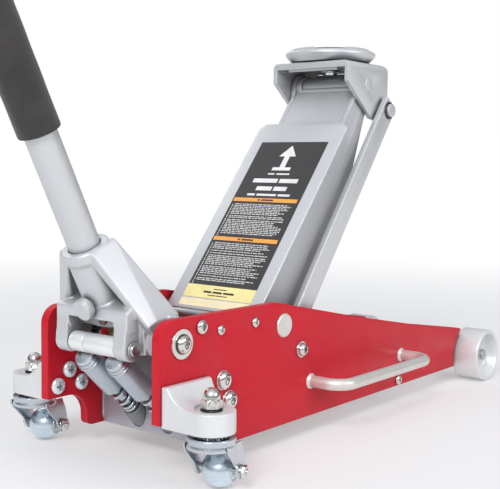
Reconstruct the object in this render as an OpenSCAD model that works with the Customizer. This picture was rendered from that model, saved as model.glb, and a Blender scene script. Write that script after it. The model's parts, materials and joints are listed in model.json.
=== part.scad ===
// Hydraulic floor jack: aluminium side plates, parallelogram lift arm, twin-piston pump
// and a long pump handle. X runs forward to the front wheels, Y to the left, Z up.
// Stations along X are measured from the rear edge of the side plates and moved by x0, so
// that the origin is on the floor under the middle of the whole jack.

/* [Chassis] */
// Overall width across the outer faces of the side plates
frame_w = 176; // [170:1:190]
// Thickness of each side plate
plate_t = 11; // [8:0.5:12]
// Height of the flat top edge of the side plates
plate_top = 165; // [160:1:170]
// Height of the bottom edge of the side plates above the floor
plate_bottom = 24; // [22:1:28]

/* [Lift linkage] */
// Distance between the main shaft and the saddle bracket pivot
arm_len = 360; // [350:5:365]
// Angle of the lift arm above the horizontal as drawn
arm_angle = 52.6; // [40:0.1:56]
// Half width of the lift arm over its side plates
arm_half = 52; // [50:0.5:52]
// Diameter of the saddle
saddle_d = 119; // [100:1:120]

/* [Handle and pump] */
// Backward lean of the handle from the vertical as drawn
handle_lean = 26.7; // [20:0.1:30]
// Distance from the handle pivot to the far end of the handle
handle_len = 1110; // [950:10:1200]
// Outer diameter of the handle tube
handle_d = 33; // [30:0.5:33]
// Outer diameter of the foam bumper
foam_d = 43; // [40:1:50]

/* [Wheels] */
// Radius of the front wheels
wheel_r = 38; // [36:0.5:39]
// Width of the front wheels
wheel_w = 40; // [34:1:42]
// Radius of the rear caster balls
ball_r = 18.5; // [17:0.5:19]
// Swivel of the rear casters from straight ahead as drawn
swivel = 16; // [0:1:45]

/* [Hidden] */
$fn = 64;

// clearances
fit = 0.05;
gap = 0.4;

// side plates
y_out = frame_w / 2;
y_in = y_out - plate_t;

// main shaft A, radius link anchor C, bracket pivot B and link pin D
ax = 203;
az = 138;
link_dx = 33;
link_dz = -32;
bx = ax + arm_len * cos(arm_angle);
bz = az + arm_len * sin(arm_angle);
shaft_r = 13.8;
link_pin_r = 9;

// fixings through the side plates, as X and Z
stop_rod = [60, 154];
ear_screw = [91, 147];
tie_rod = [149, 148];
tie_bolt = [464.5, 31.5];
power_bolts = [[95.5, 93.5], [105.5, 70.5]];
bracket_holes = [[29.5, 92.5], [13, 76.5], [46.5, 76]];
rod_r = 5;

// carry handles
carry_r = 7;
carry_y = y_out + 44;
carry_x1 = 257.6;
carry_x2 = 471;
carry_z = 65;
bend = 22;

// front axle
axle_x = 675;
axle_r = 8;
wheel_in = y_out - 7;

// handle pivot, pump roller and pump axis
px = 31;
pz = 140.5;
roller_x = 0;
roller_z = 134;
roller_r = 10.5;
roller_pin_r = 6;
pump_x = -10.5;
pump_z = 133.1;
pump_tilt = 46;
pump_y = 22.5;

// rear casters
stem_x = 26.5;
stem_y = 131.5;
trail = 21;
pad_top = 83;
pad_bottom = 61;

// ram
ram_z = 94;
lever_r = 48;
lever_angle = 30.9;
ram_roller_r = 10;
pin_r = 6;
ex = ax + lever_r * sin(lever_angle);
ez = az - lever_r * cos(lever_angle);
ram_tip = ex - ram_roller_r - 1.5;

// origin on the floor under the middle of the overall box
x_front = axle_x + wheel_r;
x_rear = px - handle_len * sin(handle_lean) - handle_d / 2 * cos(handle_lean) - 2 * cos(handle_lean);
x0 = -(x_front + x_rear) / 2;

red = [0.80, 0.10, 0.14];
paint = [0.78, 0.79, 0.81];
cast = [0.70, 0.71, 0.72];
zinc = [0.80, 0.82, 0.84];
steel = [0.60, 0.61, 0.63];
dark = [0.20, 0.20, 0.21];

// ---------------------------------------------------------------- helpers

module place(c) color(c) translate([x0, 0, 0]) children();

module pump_each() for (s = [-1, 1]) pump_frame() translate([0, s * pump_y, 0]) children();

// release valve coordinates: z runs from the handle pivot down to the valve
module valve_frame() translate([px, 0, pz]) rotate([0, 117, 0]) children();

// outline drawn in X and Z, thick t in Y, starting at y
module slab(y, t) translate([0, y + t, 0]) rotate([90, 0, 0]) linear_extrude(t) children();

// round bar along Y at x, z, from y1 to y2
module bar_y(x, z, r, y1, y2) translate([x, y2, z]) rotate([90, 0, 0]) cylinder(r = r, h = y2 - y1);

// hexagonal bar along Y
module hex_y(x, z, across, y1, y2)
    translate([x, y2, z]) rotate([90, 0, 0]) cylinder(r = across / 2 / cos(30), h = y2 - y1, $fn = 6);

module both() {
    children();
    mirror([0, 1, 0]) children();
}

// side = 1 is the left side, side = -1 the right side
module on_side(side) mirror([0, side > 0 ? 0 : 1, 0]) children();

// arm coordinates: u along the arm from the main shaft, v square to it on the upper side
module arm_frame() translate([ax, 0, az]) rotate([0, -arm_angle, 0]) children();

// handle coordinates: z along the handle from its pivot
module handle_frame() translate([px, 0, pz]) rotate([0, -handle_lean, 0]) children();

// pump coordinates: z runs from beside the roller down the piston
module pump_frame() translate([pump_x, 0, pump_z]) rotate([0, 180 - pump_tilt, 0]) children();

// points on an arc round x, z from angle a1 to a2
function arc(x, z, r, a1, a2, n = 8) =
    [for (i = [0:n]) [x + r * cos(a1 + (a2 - a1) * i / n), z + r * sin(a1 + (a2 - a1) * i / n)]];

// dome-headed screw along -Y, head standing on the plane y, centred on x, z
module pan_head(x, z, r, h, y, cross = true) translate([x, y, z]) rotate([90, 0, 0]) difference() {
    intersection() {
        cylinder(r = r, h = h);
        translate([0, 0, h - r * 1.35]) sphere(r = r * 1.35);
    }
    if (cross) for (a = [0, 90]) rotate([0, 0, a])
        translate([-r * 0.5, -r * 0.09, h - r * 0.35]) cube([r, r * 0.18, r]);
}

// ---------------------------------------------------------------- chassis

plate_outline = concat(
    [[0, 63.5]], arc(20, 145, 20, 180, 90),
    [[150, plate_top]], arc(185, plate_top - 60, 60, 90, 74, 4),
    [[360, 129.5], [500, 103]], arc(644, 71.5, 8, 78, 0, 5), arc(axle_x, 43, 19, 40, -50, 8),
    [[660, plate_bottom], [66, plate_bottom]], arc(63.5, 31.5, 7.5, 270, 180, 6),
    arc(30, 37.5, 26, 0, 90, 8));

// holes through the side plates: x, z, radius
frame_holes = concat([[ax, az, shaft_r + fit], [ax + link_dx, az + link_dz, 8], [px, pz, 8],
    [each stop_rod, rod_r], [each ear_screw, 3], [each tie_rod, rod_r], [each tie_bolt, 3.5],
    [axle_x, wheel_r, axle_r + fit], [carry_x1, carry_z, carry_r], [carry_x2, carry_z, carry_r]],
    [for (b = power_bolts) [each b, 6]], [for (b = bracket_holes) [each b, 4]]);

module side_plate() difference() {
    union() {
        slab(y_in, plate_t) polygon(plate_outline);
        bar_y(axle_x, wheel_r, 22, y_in - 9, y_in + 1);
    }
    for (h = frame_holes) bar_y(h[0], h[1], h[2], y_in - 20, y_out + 1);
    // round relief behind the front wheel
    bar_y(axle_x, wheel_r, wheel_r + 8, y_out - 8, y_out + 1);
}
module side_plate_left() place(red) side_plate();
module side_plate_right() place(red) mirror([0, 1, 0]) side_plate();

cross_x = 81;
module rear_cross_plate() place(cast) difference() {
    translate([cross_x, -y_in, plate_bottom]) cube([6, 2 * y_in, 50]);
    pump_each() translate([0, 0, 90]) cylinder(r = 12.5, h = 80);
}

module front_tie_plate() place(cast) difference() {
    union() {
        translate([446, -y_in, plate_bottom]) cube([36, 2 * y_in, 4]);
        both() translate([446, y_in - 5, plate_bottom]) cube([36, 5, 16]);
    }
    for (s = [-1, 1]) bar_y(tie_bolt[0], tie_bolt[1], 3.5, s * 80 - 20, s * 80 + 20);
}

axle_end = wheel_in + wheel_w - 6;
module front_axle() place(steel) bar_y(axle_x, wheel_r, axle_r, -axle_end, axle_end);

module front_axle_tube() place(steel) difference() {
    bar_y(axle_x, wheel_r, 13, -(y_in - 9), y_in - 9);
    bar_y(axle_x, wheel_r, axle_r + fit, -90, 90);
}

module axle_nuts() place(zinc) both() difference() {
    union() {
        bar_y(axle_x, wheel_r, 13, axle_end - 13, axle_end - 11);
        hex_y(axle_x, wheel_r, 22, axle_end - 11, axle_end - 2);
    }
    bar_y(axle_x, wheel_r, axle_r, axle_end - 20, axle_end + 5);
}

module main_shaft() place(steel) difference() {
    bar_y(ax, az, shaft_r, -y_out - 1.5, y_out + 1.5);
    both() translate([ax, y_out + 1.6, az]) rotate([90, 0, 0]) cylinder(r = 2.5, h = 4);
}

module pivot_spacers() place(zinc) both() {
    difference() {
        bar_y(ax, az, 22, y_in - 2.5, y_in);
        bar_y(ax, az, shaft_r + fit, 60, 90);
    }
    difference() {
        bar_y(ax + link_dx, az + link_dz, 12, 70.5, y_in);
        bar_y(ax + link_dx, az + link_dz, 8, 60, 90);
    }
}

// hexagon-socket dome bolts with a flat washer, holding the handle socket
module handle_pivot_bolts() place(zinc) both() difference() {
    union() {
        bar_y(px, pz, 8, 60, y_out);
        bar_y(px, pz, 15.5, y_out, y_out + 2);
        translate([px, y_out + 2, pz]) rotate([-90, 0, 0]) intersection() {
            cylinder(r = 9.3, h = 7);
            translate([0, 0, -6.5]) sphere(r = 13.5);
        }
    }
    hex_y(px, pz, 8, y_out + 4, y_out + 12);
}

// rod between the plates that stops the handle socket at its upright position
module handle_stop_rod() place(zinc) {
    bar_y(stop_rod[0], stop_rod[1], rod_r, -y_out, y_out);
    both() pan_head(stop_rod[0], stop_rod[1], 7.5, 5, -y_out);
}

module frame_screws() place(zinc) both() {
    bar_y(ear_screw[0], ear_screw[1], 3, -y_out, -68);
    pan_head(ear_screw[0], ear_screw[1], 5.5, 3.5, -y_out);
    pan_head(tie_rod[0], tie_rod[1], 5.6, 3.5, -y_out);
    bar_y(tie_bolt[0], tie_bolt[1], 3.5, -y_out, -y_in + 4);
    pan_head(tie_bolt[0], tie_bolt[1], 6.5, 4, -y_out);
}

module power_unit_bolts() place(zinc) both()
    for (b = power_bolts) {
        bar_y(b[0], b[1], 6, -y_out, -60);
        bar_y(b[0], b[1], 10.8, -y_out - 1, -y_out);
        pan_head(b[0], b[1], 9.7, 6, -y_out - 1);
    }

module link_anchor_bolts() place(zinc) both() difference() {
    union() {
        bar_y(ax + link_dx, az + link_dz, 8, 60.5, y_out);
        bar_y(ax + link_dx, az + link_dz, 9.5, y_out, y_out + 1.8);
        hex_y(ax + link_dx, az + link_dz, 13, y_out + 1.8, y_out + 8);
        bar_y(ax + link_dx, az + link_dz, 9.5, 56.5, 60.5);
    }
    bar_y(ax + link_dx, az + link_dz, 3, y_out + 5, y_out + 9);
}

module carry_bend(x, a) translate([x, carry_y - bend, carry_z]) rotate([0, 0, a])
    rotate_extrude(angle = 90) translate([bend, 0]) circle(r = carry_r);
module carry_handle() {
    for (x = [carry_x1, carry_x2]) bar_y(x, carry_z, carry_r, y_in + 1, carry_y - bend);
    translate([carry_x1 + bend, carry_y, carry_z]) rotate([0, 90, 0])
        cylinder(r = carry_r, h = carry_x2 - carry_x1 - 2 * bend);
    carry_bend(carry_x1 + bend, 90);
    carry_bend(carry_x2 - bend, 0);
}
module carry_handle_left() place(zinc) carry_handle();
module carry_handle_right() place(zinc) mirror([0, 1, 0]) carry_handle();

// ---------------------------------------------------------------- casters

bracket_top = 102;
pad_r = 24;
seat_z = pad_top - 1;
module caster_bracket() difference() {
    translate([0, 0, pad_bottom]) linear_extrude(bracket_top - pad_bottom) {
        translate([stem_x, stem_y]) circle(r = pad_r);
        polygon([[2, y_out], [72, y_out], [stem_x + pad_r * cos(24), stem_y + pad_r * sin(24)],
            [stem_x - pad_r, stem_y]]);
    }
    // curved slope from the flange down to the pad
    translate([-10, 0, 0]) rotate([90, 0, 90]) linear_extrude(120)
        polygon(concat([[y_out + 7, bracket_top + 1]], arc(y_out + 40, pad_top + 38, 38, 208, 270, 8),
            [[170, pad_top], [170, 120], [y_out + 7, 120]]));
    // flat spot-face for the stem nut
    translate([stem_x, stem_y, seat_z]) cylinder(r = 16.5, h = 60);
    translate([stem_x, stem_y, 0]) cylinder(r = 6, h = 200);
    for (b = bracket_holes) bar_y(b[0], b[1], 4, y_out - 1, y_out + 8);
}
module caster_bracket_left() place(cast) caster_bracket();
module caster_bracket_right() place(cast) mirror([0, 1, 0]) caster_bracket();

module bracket_screws() place(zinc) both()
    for (b = bracket_holes) {
        bar_y(b[0], b[1], 4, y_in, y_out + 7.5);
        pan_head(b[0], b[1], 9, 5.5, y_in);
    }

race_z = 55;
module caster_stem() translate([stem_x, stem_y, 0]) {
    translate([0, 0, 44]) cylinder(r = 6, h = 46);
    translate([0, 0, seat_z]) cylinder(r = 11, h = 2.2);
    translate([0, 0, seat_z + 2.2]) cylinder(r = 9.5 / cos(30), h = 9, $fn = 6);
    translate([0, 0, seat_z + 11.2]) cylinder(r = 9, h = 4);
    translate([0, 0, seat_z + 15.2]) sphere(r = 9);
    translate([0, 0, race_z]) cylinder(r = 14, h = pad_bottom - race_z);
    translate([0, 0, 43]) cylinder(r = 9, h = 3);
}
module caster_stem_left() place(zinc) caster_stem();
module caster_stem_right() place(zinc) mirror([0, 1, 0]) caster_stem();

// caster coordinates: origin on the floor under the stem, X along the trail of the fork
module caster_frame() translate([stem_x, stem_y, 0]) rotate([0, 0, swivel]) children();

// swivel fork: dished ring over the balls of the race, two legs that trail forward
module caster_fork() caster_frame() difference() {
    union() {
        translate([0, 0, 45.5]) cylinder(r = 24.5, h = 13);
        for (s = [-1, 1]) slab(s * 22 - 1.5, 3)
            polygon(concat([[-14, 52], [16, 52]], arc(trail, ball_r, 8, 20, -100, 6),
                [[trail - 9, ball_r + 2]]));
    }
    translate([0, 0, 40]) cylinder(r = 6 + fit, h = 30);
    translate([0, 0, 40]) cylinder(r = 20, h = 9.5);
    translate([0, 0, race_z - gap]) cylinder(r = 14 + gap, h = 10);
    bar_y(trail, ball_r, 4, -30, 30);
}
module caster_fork_left() place(zinc) caster_fork();
module caster_fork_right() place(zinc) translate([0, -2 * stem_y, 0]) caster_fork();

// axle bolt with its nut on the right-hand end
module caster_axle() caster_frame() translate([trail, 0, ball_r]) {
    bar_y(0, 0, 4, -29, 24);
    hex_y(0, 0, 12, 23.5, 27.5);
    hex_y(0, 0, 13, -30, -23.5);
}
module caster_axle_left() place(zinc) caster_axle();
module caster_axle_right() place(zinc) translate([0, -2 * stem_y, 0]) caster_axle();

module caster_ball() caster_frame() translate([trail, 0, ball_r]) difference() {
    intersection() {
        sphere(r = ball_r);
        cube([60, 36, 60], center = true);
    }
    bar_y(0, 0, 4 + fit, -30, 30);
    both() bar_y(0, 0, 9, 15, 20);
}
module caster_ball_left() place(zinc) caster_ball();
module caster_ball_right() place(zinc) translate([0, -2 * stem_y, 0]) caster_ball();

// front wheel: barrel with a deep dished outer side and a hub round the axle
module front_wheel() translate([axle_x, wheel_in, wheel_r]) rotate([-90, 0, 0]) rotate_extrude($fn = 96)
    polygon([[axle_r + fit, 0.5], [wheel_r - 1.5, 0.5], [wheel_r, 2], [wheel_r, wheel_w - 2],
        [wheel_r - 2, wheel_w], [wheel_r - 6, wheel_w], [wheel_r - 9, 22], [14.5, 20], [14, 20.5],
        [axle_r + fit, 20.5]]);
module front_wheel_left() place(zinc) front_wheel();
module front_wheel_right() place(zinc) mirror([0, 1, 0]) front_wheel();

// ---------------------------------------------------------------- hydraulic unit

block_x1 = 87;
barrel_z = 116;
rod_pump_r = 5.8;
cyl_x1 = 93;
cyl_x2 = 155;
module pump_block() place(dark) difference() {
    union() {
        translate([block_x1, -46, 40]) cube([35, 92, 90]);
        // upright ears that the small frame screws clamp
        both() translate([block_x1, 66, 90]) cube([9, y_in - 66 - 0.2, 64]);
        // side lugs that the frame bolts clamp
        both() translate([block_x1, 45, 58]) cube([30, y_in - 45 - 0.2, 48]);
        // inclined pump barrels, which reach back through the cross plate
        pump_each() translate([0, 0, barrel_z]) cylinder(r = 12, h = 27);
        // foot that closes the lower ends of the barrels
        translate([block_x1, -38, 26]) cube([22, 76, 20]);
        // boss of the release valve
        valve_frame() translate([0, 0, 48]) cylinder(r = 11, h = 24);
        // lugs that hold the rear ends of the return springs
        both() translate([block_x1 + 30, 35, ez - 7]) cube([14, 4, 14]);
    }
    pump_each() translate([0, 0, 100]) cylinder(r = rod_pump_r + fit, h = 43.5);
    translate([cyl_x1, 0, ram_z]) rotate([0, 90, 0]) cylinder(r = 30, h = 60);
    valve_frame() translate([0, 0, 40]) cylinder(r = 6 + fit, h = 26);
    for (b = power_bolts) both() bar_y(b[0], b[1], 6, 60, 90);
    both() bar_y(ear_screw[0], ear_screw[1], 3, 60, 90);
    both() bar_y(block_x1 + 38, ez, 3, 30, 45);
}

module cylinder_tube() place(steel) translate([cyl_x1, 0, ram_z]) rotate([0, 90, 0]) difference() {
    cylinder(r = 30, h = cyl_x2 - cyl_x1);
    translate([0, 0, -1]) cylinder(r = 20.05, h = 90);
}

module cylinder_gland() place(zinc) translate([cyl_x2, 0, ram_z]) rotate([0, 90, 0]) difference() {
    cylinder(r = 24, h = 6);
    translate([0, 0, -5]) cylinder(r = 13 + fit, h = 20);
}

// piston and rod, pushed out as drawn
piston_x = 146;
module ram() place(steel) translate([piston_x, 0, ram_z]) rotate([0, 90, 0]) {
    cylinder(r = 20, h = 5);
    cylinder(r = 13, h = ram_tip - piston_x - 1.5);
    cylinder(r = 11.5, h = ram_tip - piston_x);
}

// tie rod between the plates behind the main shaft
module upper_tie_rod() place(steel) bar_y(tie_rod[0], tie_rod[1], rod_r, -y_out, y_out);

// drive shaft of the release valve, with a ball in the coupling at its upper end
module release_valve_stem() place(zinc) valve_frame() {
    cylinder(r = 4, h = 48);
    sphere(r = 6.5);
    translate([0, 0, 42]) cylinder(r = 6, h = 22);
}

module valve_coupling_cup() place([0.72, 0.62, 0.36]) handle_frame() difference() {
    union() {
        translate([0, 0, -1]) cylinder(r = 10.5, h = 15);
        translate([0, 0, 12]) cylinder(r = 7, h = 20);
    }
    translate([0, 0, -10]) cylinder(r = 7.2, h = 10);
    sphere(r = 7.2);
}

// ---------------------------------------------------------------- pump

cap_z = 18;
rim_z = 31;
module pump_plungers() place(zinc) pump_each() {
    translate([0, 0, cap_z]) cylinder(r = 11, h = 4);
    translate([0, 0, cap_z + 4]) cylinder(r = 12.3, h = 5);
    translate([0, 0, cap_z + 9]) cylinder(r = 13.8, h = rim_z - cap_z - 9);
    translate([0, 0, cap_z + 5]) cylinder(r = rod_pump_r, h = 97);
}

module pump_sleeves() place(paint) pump_each() difference() {
    translate([0, 0, rim_z]) cylinder(r = 11, h = 46);
    translate([0, 0, rim_z - 1]) cylinder(r = 10.1, h = 60);
}

spring_h = barrel_z - rim_z;
coils = 8;
coil_r = 8;
wire_r = 1.7;
// stack of rings that stands for each coil spring
module pump_springs() place(zinc) pump_each() translate([0, 0, rim_z + wire_r])
    for (i = [0:coils - 1]) translate([0, 0, i * (spring_h - 2 * wire_r) / (coils - 1)])
        rotate_extrude() translate([coil_r, 0]) circle(r = wire_r, $fn = 16);

// ---------------------------------------------------------------- lift arm

// height of the arm's upper flange above its centre line
taper = 0.036;
function top_v(u) = 24.3 - taper * u;
arm_outline = concat(arc(0, 0, 26, 250, 110, 8), [[10, top_v(10)], [284, top_v(284)], [288, 7], [335, 7]],
    arc(arm_len, 0, 18, 110, -60, 8), [[318, -28], [256, -47], [30, -47], [0, -30]]);

web_end = 350;
module lift_arm() place(paint) arm_frame() difference() {
    union() {
        both() slab(arm_half - 6, 6) polygon(arm_outline);
        // web between the side plates, with a rolled lip at its upper end
        slab(-46.5, 93) polygon([[22, 4], [web_end, 1], [web_end, 6], [22, 9]]);
        bar_y(web_end, 3, 5, -46.5, 46.5);
        bar_y(0, 0, 21, -(y_in - 3), y_in - 3);
        both() slab(16, 8) rotate([0, 0, -arm_angle]) hull() {
            circle(r = 19);
            rotate([0, 0, lever_angle]) translate([0, -lever_r]) circle(r = 13, $fn = 32);
        }
        both() bar_y(arm_len, 0, 15, arm_half - 14, arm_half - 5);
        bar_y(arm_len, 0, 12, -arm_half + 10, arm_half - 10);
    }
    bar_y(0, 0, shaft_r + fit, -90, 90);
    bar_y(arm_len, 0, 9 + fit, -90, 90);
    rotate([0, arm_angle, 0]) bar_y(ex - ax, ez - az, pin_r, -44, 44);
}

cover_half = 69;
cover_u1 = -8;
cover_u2 = 282;
cover_cut = 8;
module cover_frame() arm_frame() translate([0, 0, top_v(0) + 0.2]) rotate([0, atan(taper), 0]) children();
module arm_cover_plate() place(paint) cover_frame() linear_extrude(3) polygon([
    [cover_u1, -cover_half], [cover_u2 - cover_cut, -cover_half], [cover_u2, -cover_half + cover_cut],
    [cover_u2, cover_half - cover_cut], [cover_u2 - cover_cut, cover_half], [cover_u1, cover_half]]);
module label_panel() place(dark) cover_frame() translate([8, -52, 3])
    cube([242, 104, 0.4]);

module ram_roller_pin() place(steel) bar_y(ex, ez, pin_r, -42.5, 42.5);
module ram_roller() place(zinc) difference() {
    bar_y(ex, ez, ram_roller_r, -15.5, 15.5);
    bar_y(ex, ez, pin_r, -20, 20);
}

// ---------------------------------------------------------------- saddle bracket and links

dx = bx + link_dx;
dz = bz + link_dz;
yoke_top = bz + 28;
yoke_x1 = bx - 50;
yoke_x2 = bx + 47;
yoke_out = 59;
yoke_in = 53;
yoke_outline = concat([[yoke_x1, yoke_top - 26]], [[yoke_x1, yoke_top - 3], [yoke_x1 + 3, yoke_top]],
    arc(yoke_x2 - 10, yoke_top - 10, 10, 90, 0, 5), [[yoke_x2, dz + 14]], arc(dx, dz, 16, 25, -110, 8),
    [[bx + 6, bz - 43]]);
module saddle_bracket() place(paint) difference() {
    union() {
        both() slab(yoke_in, yoke_out - yoke_in) polygon(yoke_outline);
        translate([yoke_x1, -yoke_out + 1, yoke_top - 8]) cube([yoke_x2 - yoke_x1 - 10, 2 * yoke_out - 2, 8]);
        // front wall between the side flanges
        translate([bx + 41, -yoke_in - 1, bz - 8]) cube([6, 2 * yoke_in + 2, 28]);
        // stiffening bar welded under the rear edge of the top plate
        translate([yoke_x1 + 5, -38, yoke_top - 11]) cube([5, 76, 4]);
    }
    bar_y(bx, bz, 9, -90, 90);
    bar_y(dx, dz, link_pin_r, -90, 90);
    translate([bx - 3, 0, yoke_top - 20]) cylinder(r = 10 + fit, h = 40);
}
module bracket_pin() place(paint) bar_y(bx, bz, 9, -yoke_out - 0.5, yoke_out + 0.5);
module link_pins() place(zinc) both() {
    bar_y(dx, dz, link_pin_r, yoke_in - 4, 71);
    bar_y(dx, dz, 12, 70.6, 75.5);
    bar_y(dx, dz, 12.5, yoke_in - 5, yoke_in);
}

module link_side() translate([ax + link_dx, 0, az + link_dz]) rotate([0, -arm_angle, 0]) difference() {
    slab(62, 8) union() {
        hull() {
            circle(r = 13.5);
            translate([arm_len, 0]) circle(r = 13.5);
        }
        translate([arm_len - 8, 0]) square([21, 13.5]);
    }
    bar_y(0, 0, 8 + fit, 50, 90);
    bar_y(arm_len, 0, link_pin_r + gap, 50, 90);
}
module radius_link_left() place(paint) link_side();
module radius_link_right() place(paint) mirror([0, 1, 0]) link_side();

saddle_r = saddle_d / 2;
module saddle() place(paint) translate([bx - 3, 0, yoke_top + 2]) difference() {
    union() {
        rotate_extrude($fn = 96) polygon([[0, 0], [saddle_r - 9, 0], [saddle_r - 3, 4], [saddle_r, 9],
            [saddle_r, 13], [saddle_r - 4, 17], [saddle_r - 13, 17], [saddle_r - 15, 11], [0, 11]]);
        translate([0, 0, -9]) cylinder(r = 10, h = 10);
        translate([0, 0, gap - 2]) cylinder(r = 22, h = 2);
        for (a = [0:45:315]) rotate([0, 0, a]) translate([18, -3, 10]) cube([22, 6, 4]);
    }
    translate([0, 0, -15]) cylinder(r = 5, h = 40);
    for (a = [0, 90]) rotate([0, 0, a]) translate([-100, -19, 14.5]) cube([200, 38, 10]);
}
module saddle_bolt() place(zinc) translate([bx - 3, 0, yoke_top + 2]) {
    translate([0, 0, -15]) cylinder(r = 5, h = 26);
    translate([0, 0, 11]) cylinder(r = 9, h = 3);
    translate([0, 0, -12.4]) cylinder(r = 14, h = 2);
    translate([0, 0, -16]) cylinder(r = 8.5 / cos(30), h = 4, $fn = 6);
}

// ---------------------------------------------------------------- handle

ear_out = 51;
ear_in = 34;
lock_z = 50;
module gusset() hull() {
    handle_frame() translate([-14, 19, 92]) cube([34, 5, 14]);
    slab(60, 6) polygon([[px - 24, pz + 16], [px - 12, pz + 22], [52, 166], [46, 148], [px - 8, pz]]);
}
module handle_socket() place(paint) difference() {
    union() {
        // tube that takes the handle, with a rolled collar
        handle_frame() {
            translate([0, 0, 24]) cylinder(r = 21.5, h = 82);
            translate([0, 0, 98]) cylinder(r = 25, h = 9);
        }
        both() gusset();
        // pivot drums
        both() bar_y(px, pz, 18, 55, y_in - 0.5);
        // crosspiece between the drums, carrying the ears of the pump roller
        difference() {
            slab(-60, 120) polygon([[-12, 168], [px - 16, pz + 35], [px + 8, pz + 33],
                [px + 12, pz + 22], [8, 158]]);
            translate([-60, -ear_in, 100]) cube([60, 2 * ear_in, 47]);
        }
        both() slab(ear_in, ear_out - ear_in)
            polygon(concat(arc(roller_x, roller_z, 12, 175, 320, 8),
                [[px + 4, 133], [px + 14, 150], [6, 176], [-14, 168]]));
        both() slab(40, 16) polygon([[12, 126], [px + 14, 126], [px + 14, 158], [8, 160]]);
        // lug that rests on the stop rod
        both() slab(64, 8) polygon([[36, 150], [50, 150], [56, 155], [56, 160], [36, 166]]);
    }
    handle_frame() translate([0, 0, 26]) cylinder(r = handle_d / 2 + fit, h = 200);
    bar_y(px, pz, 8 + fit, -90, 90);
    bar_y(roller_x, roller_z, roller_pin_r, -90, 90);
    // room for the valve coupling and the roller between the ears
    handle_frame() translate([0, 0, -40]) cylinder(r = 15, h = 80);
    bar_y(roller_x, roller_z, roller_r + 2, -ear_in, ear_in);
    // rear window onto the valve coupling
    translate([-40, -22, pz + 8]) cube([50, 44, 15]);
    // threaded hole of the lock bolt
    handle_frame() translate([0, 0, lock_z]) rotate([0, -90, 0]) cylinder(r = 6, h = 60);
    bar_y(stop_rod[0], stop_rod[1], rod_r + gap, -90, 90);
}

module handle_lock_bolt() place(zinc) handle_frame() translate([0, 0, lock_z]) rotate([0, -90, 0]) {
    translate([0, 0, handle_d / 2 + gap]) cylinder(r = 6, h = 20);
    translate([0, 0, 27]) cylinder(r = 11, h = 6);
}

module pump_roller_pin() place(steel) {
    bar_y(roller_x, roller_z, roller_pin_r, -ear_out - 5, ear_out + 5);
    both() bar_y(roller_x, roller_z, roller_pin_r + 2.3, ear_out + 1, ear_out + 2.5);
}
module pump_rollers() place(zinc) difference() {
    union() {
        bar_y(roller_x, roller_z, roller_r, -ear_in + 0.7, 11.6);
        bar_y(roller_x, roller_z, roller_r, 12, ear_in - 0.7);
    }
    bar_y(roller_x, roller_z, roller_pin_r + fit, -90, 90);
}

module handle_lower_tube() place(paint) handle_frame() difference() {
    translate([0, 0, 26.5]) cylinder(r = handle_d / 2, h = 553);
    translate([0, 0, 32]) cylinder(r = handle_d / 2 - 2.5, h = 600);
    translate([0, 0, 20]) cylinder(r = 7, h = 40);
}
module handle_upper_tube() place(paint) handle_frame() difference() {
    union() {
        translate([0, 0, 500]) cylinder(r = handle_d / 2 - 2.5, h = 90);
        translate([0, 0, 580]) cylinder(r = handle_d / 2, h = handle_len - 582);
    }
    translate([0, 0, 490]) cylinder(r = handle_d / 2 - 5, h = handle_len - 500);
}
module foam_bumper() place(dark) handle_frame() difference() {
    translate([0, 0, 231]) cylinder(r = foam_d / 2, h = 460);
    translate([0, 0, 220]) cylinder(r = handle_d / 2, h = 500);
}
module hand_grip() place(dark) handle_frame() difference() {
    translate([0, 0, handle_len - 135]) cylinder(r = handle_d / 2 + 2, h = 135);
    translate([0, 0, handle_len - 140]) cylinder(r = handle_d / 2, h = 138);
}

// return springs from the pump block to the lever pin of the lift arm
module return_springs() place(steel) both()
    translate([block_x1 + 45, 37, ez]) rotate([0, 90, 0]) cylinder(r = 5.5, h = ex - pin_r - block_x1 - 45);

side_plate_left();
side_plate_right();
rear_cross_plate();
front_tie_plate();
front_axle();
front_axle_tube();
axle_nuts();
main_shaft();
pivot_spacers();
handle_pivot_bolts();
handle_stop_rod();
frame_screws();
power_unit_bolts();
link_anchor_bolts();
carry_handle_left();
carry_handle_right();
caster_bracket_left();
caster_bracket_right();
bracket_screws();
caster_stem_left();
caster_stem_right();
pump_block();
cylinder_tube();
cylinder_gland();
upper_tie_rod();
caster_fork_left();
caster_fork_right();
caster_axle_left();
caster_axle_right();
caster_ball_left();
caster_ball_right();
front_wheel_left();
front_wheel_right();
lift_arm();
arm_cover_plate();
label_panel();
ram_roller_pin();
ram_roller();
saddle_bracket();
bracket_pin();
link_pins();
saddle();
saddle_bolt();
radius_link_left();
radius_link_right();
ram();
handle_socket();
pump_roller_pin();
pump_rollers();
handle_lock_bolt();
handle_lower_tube();
handle_upper_tube();
foam_bumper();
hand_grip();
valve_coupling_cup();
release_valve_stem();
pump_plungers();
pump_sleeves();
pump_springs();
return_springs();
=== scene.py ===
"""Looks of the floor jack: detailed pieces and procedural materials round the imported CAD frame.

Shapes are built in the chassis' own millimetres: X from the rear edge of the side plates,
Y to the left, Z up from the floor. TO_FRAME takes them into the CAD frame in metres.
"""

import json
import math
import random

import bmesh
import bpy
from mathutils import Matrix, Vector


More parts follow.
